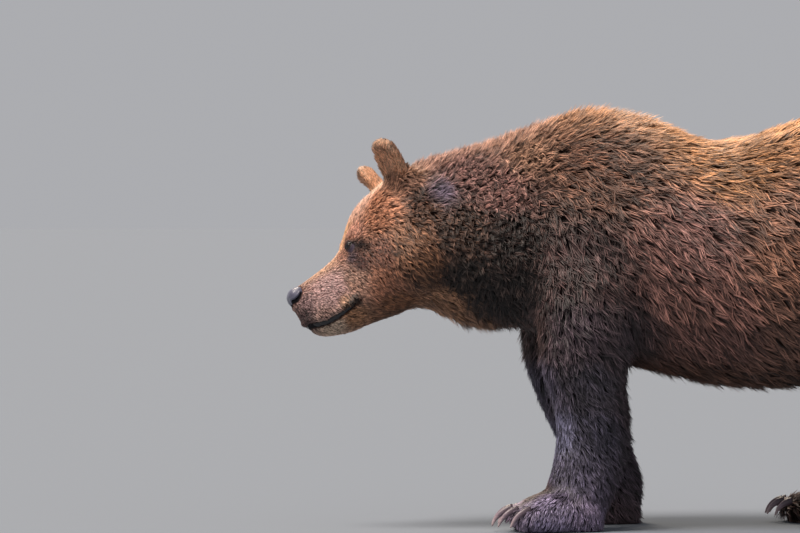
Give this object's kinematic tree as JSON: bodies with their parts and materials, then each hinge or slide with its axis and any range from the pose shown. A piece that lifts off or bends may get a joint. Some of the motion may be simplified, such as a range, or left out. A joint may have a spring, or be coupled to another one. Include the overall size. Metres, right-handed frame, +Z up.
{
  "type": "brown bear",
  "caption": "Life-size still model of a brown bear standing on all fours, its head lowered and turned a little to its left, for a museum or a scene.",
  "frame": {"origin": "middle of the box round the bear, on the floor under it", "axes": "+Z up; -X the way the bear faces, so +X runs from nose to tail; -Y the bear's left side"},
  "size_m": [1.6192, 0.5252, 0.9063],
  "materials": {
    "coat": "brown fur, lighter and golden on the head, neck and back",
    "dark_coat": "blackish brown fur of the legs and feet",
    "nose_skin": "moist pebbled dark skin",
    "eye": "wet, dark brown",
    "claw": "worn horn, paler at the tip"
  },
  "bodies": {
    "root": {"trunk": "coat", "neck": "coat", "head": "coat", "lower_jaw": "coat", "ear_left": "coat", "ear_right": "coat", "tail": "coat", "upper_arm_left": "coat", "forearm_left": "dark_coat", "fore_paw_left": "dark_coat", "upper_arm_right": "coat", "forearm_right": "dark_coat", "fore_paw_right": "dark_coat", "thigh_left": "coat", "shank_left": "dark_coat", "hind_paw_left": "dark_coat", "thigh_right": "coat", "shank_right": "dark_coat", "hind_paw_right": "dark_coat", "nose": "nose_skin", "eye_left": "eye", "eye_right": "eye", "claw_fore_left_1": "claw", "claw_fore_left_2": "claw", "claw_fore_left_3": "claw", "claw_fore_left_4": "claw", "claw_fore_left_5": "claw", "claw_fore_right_1": "claw", "claw_fore_right_2": "claw", "claw_fore_right_3": "claw", "claw_fore_right_4": "claw", "claw_fore_right_5": "claw", "claw_hind_left_1": "claw", "claw_hind_left_2": "claw", "claw_hind_left_3": "claw", "claw_hind_left_4": "claw", "claw_hind_left_5": "claw", "claw_hind_right_1": "claw", "claw_hind_right_2": "claw", "claw_hind_right_3": "claw", "claw_hind_right_4": "claw", "claw_hind_right_5": "claw"}
  },
  "joints": []
}
